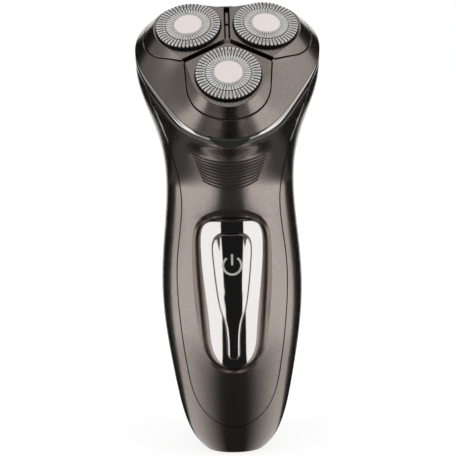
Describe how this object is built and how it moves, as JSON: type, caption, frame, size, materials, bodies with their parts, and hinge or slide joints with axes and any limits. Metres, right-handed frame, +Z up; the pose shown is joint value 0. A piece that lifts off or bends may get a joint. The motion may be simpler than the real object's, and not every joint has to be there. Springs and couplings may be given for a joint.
{
  "type": "electric shaver",
  "caption": "Cordless rotary shaver with round slotted foils on rocking pods, a flip-up head, chrome trim, release button and a waisted handle with a recessed power button panel.",
  "frame": {"origin": "middle of the charging socket's mouth, on the flat foot of the handle", "axes": "+Z up the handle, the button panel faces -Y, +X to the right seen from the front"},
  "size_m": [0.0644, 0.0582, 0.1616],
  "materials": {
    "gunmetal": "gunmetal lacquer on plastic, semi-gloss",
    "chrome": "bright plated",
    "foil_steel": "fine turned steel",
    "disc_satin": "satin",
    "steel": "plain",
    "black_plastic": "fine matte",
    "slate_plastic": "fine matte",
    "white_gear": "moulded",
    "seal_rubber": "soft",
    "board_green": "lacquered board",
    "cell_wrap": "shrink wrap on a metal cell",
    "brass": "plain",
    "mark_grey": "printed"
  },
  "bodies": {
    "handle": {"front_cover": "gunmetal", "rear_housing": "gunmetal", "button_plate": "chrome", "trim_ring": "chrome", "hinge_block": "black_plastic", "hinge_pin": "steel", "drive_deck": "black_plastic", "spindle_seals": "seal_rubber", "deck_screws": "steel", "gear_plate": "black_plastic", "motor_body": "steel", "motor_screws": "steel", "chassis": "black_plastic", "chassis_screws": "steel", "circuit_board": "board_green", "tact_switch": "black_plastic", "battery": "cell_wrap", "battery_tabs": "steel", "inlet_body": "black_plastic", "inlet_pins": "brass"},
    "head": {"head_frame": "gunmetal", "pod_pin_left": "steel", "pod_pin_right": "steel", "pod_pin_front": "steel"},
    "pod_left_unit": {"pod_left": "gunmetal", "retainer_left": "black_plastic"},
    "foil_left_unit": {"foil_left": "foil_steel", "foil_disc_left": "disc_satin"},
    "cutter_left_unit": {"cutter_left": "steel"},
    "gear_left_unit": {"gear_left": "white_gear", "spindle_left": "steel"},
    "pod_right_unit": {"pod_right": "gunmetal", "retainer_right": "black_plastic"},
    "foil_right_unit": {"foil_right": "foil_steel", "foil_disc_right": "disc_satin"},
    "cutter_right_unit": {"cutter_right": "steel"},
    "gear_right_unit": {"gear_right": "white_gear", "spindle_right": "steel"},
    "pod_front_unit": {"pod_front": "gunmetal", "retainer_front": "black_plastic"},
    "foil_front_unit": {"foil_front": "foil_steel", "foil_disc_front": "disc_satin"},
    "cutter_front_unit": {"cutter_front": "steel"},
    "gear_front_unit": {"gear_front": "white_gear", "spindle_front": "steel"},
    "pinion_unit": {"motor_pinion": "steel"},
    "power_unit": {"power_button": "chrome", "power_mark": "mark_grey"},
    "release_unit": {"release_button": "slate_plastic"}
  },
  "joints": [
    {"name": "head_flip", "type": "hinge", "parent": "handle", "child": "head", "pos_m": [0, 0.01225, 0.15771], "axis": [-1, 0, 0], "range_deg": [0, 95]},
    {"name": "pod_left_tilt", "type": "hinge", "parent": "head", "child": "pod_left_unit", "pos_m": [-0.00294, -0.00914, 0.1456], "axis": [-0.5, -0.6806, -0.5356], "range_deg": [0, 4], "stiffness_Nm_per_rad": 0.4, "springref_deg": -2.86},
    {"name": "pod_right_tilt", "type": "hinge", "parent": "head", "child": "pod_right_unit", "pos_m": [0.00294, -0.00914, 0.1456], "axis": [-0.5, 0.6806, 0.5356], "range_deg": [0, 4], "stiffness_Nm_per_rad": 0.4, "springref_deg": -2.86},
    {"name": "pod_front_tilt", "type": "hinge", "parent": "head", "child": "pod_front_unit", "pos_m": [0, -0.01315, 0.14244], "axis": [1, 0, 0], "range_deg": [0, 4], "stiffness_Nm_per_rad": 0.4, "springref_deg": -2.86},
    {"name": "foil_left_float", "type": "slide", "parent": "pod_left_unit", "child": "foil_left_unit", "axis": [-0.0845, -0.5771, 0.8123], "range_m": [-0.001, 0], "stiffness_N_per_m": 800, "springref_m": 0.0005},
    {"name": "foil_right_float", "type": "slide", "parent": "pod_right_unit", "child": "foil_right_unit", "axis": [0.0845, -0.5771, 0.8123], "range_m": [-0.001, 0], "stiffness_N_per_m": 800, "springref_m": 0.0005},
    {"name": "foil_front_float", "type": "slide", "parent": "pod_front_unit", "child": "foil_front_unit", "axis": [0, -0.6921, 0.7218], "range_m": [-0.001, 0], "stiffness_N_per_m": 800, "springref_m": 0.0005},
    {"name": "cutter_left_spin", "type": "hinge", "parent": "foil_left_unit", "child": "cutter_left_unit", "pos_m": [-0.01346, -0.00904, 0.15528], "axis": [-0.0845, -0.5771, 0.8123], "continuous": true},
    {"name": "cutter_right_spin", "type": "hinge", "parent": "foil_right_unit", "child": "cutter_right_unit", "pos_m": [0.01346, -0.00904, 0.15528], "axis": [0.0845, -0.5771, 0.8123], "continuous": true},
    {"name": "cutter_front_spin", "type": "hinge", "parent": "foil_front_unit", "child": "cutter_front_unit", "pos_m": [0, -0.02736, 0.14087], "axis": [0, -0.6921, 0.7218], "continuous": true},
    {"name": "gear_left_spin", "type": "hinge", "parent": "handle", "child": "gear_left_unit", "pos_m": [-0.01299, -0.00211, 0.14604], "axis": [0, -0.6184, 0.7859], "continuous": true},
    {"name": "gear_right_spin", "type": "hinge", "parent": "handle", "child": "gear_right_unit", "pos_m": [0.01299, -0.00211, 0.14604], "axis": [0, -0.6184, 0.7859], "continuous": true},
    {"name": "gear_front_spin", "type": "hinge", "parent": "handle", "child": "gear_front_unit", "pos_m": [0, -0.01979, 0.13212], "axis": [0, -0.6184, 0.7859], "continuous": true},
    {"name": "motor_spin", "type": "hinge", "parent": "handle", "child": "pinion_unit", "pos_m": [0, -0.008, 0.1414], "axis": [0, -0.6184, 0.7859], "continuous": true},
    {"name": "power_press", "type": "slide", "parent": "handle", "child": "power_unit", "axis": [0, 1, 0], "range_m": [0, 0.0008], "stiffness_N_per_m": 900, "springref_m": -0.0004},
    {"name": "release_press", "type": "slide", "parent": "handle", "child": "release_unit", "axis": [0, 0.7859, 0.6184], "range_m": [0, 0.0012], "stiffness_N_per_m": 900, "springref_m": -0.0004}
  ],
  "couplings": [
    {"joint": "gear_left_spin", "follows": "gear_front_spin", "ratio": 1},
    {"joint": "gear_right_spin", "follows": "gear_front_spin", "ratio": 1},
    {"joint": "cutter_left_spin", "follows": "gear_front_spin", "ratio": 1},
    {"joint": "cutter_right_spin", "follows": "gear_front_spin", "ratio": 1},
    {"joint": "cutter_front_spin", "follows": "gear_front_spin", "ratio": 1},
    {"joint": "motor_spin", "follows": "gear_front_spin", "ratio": -4}
  ]
}
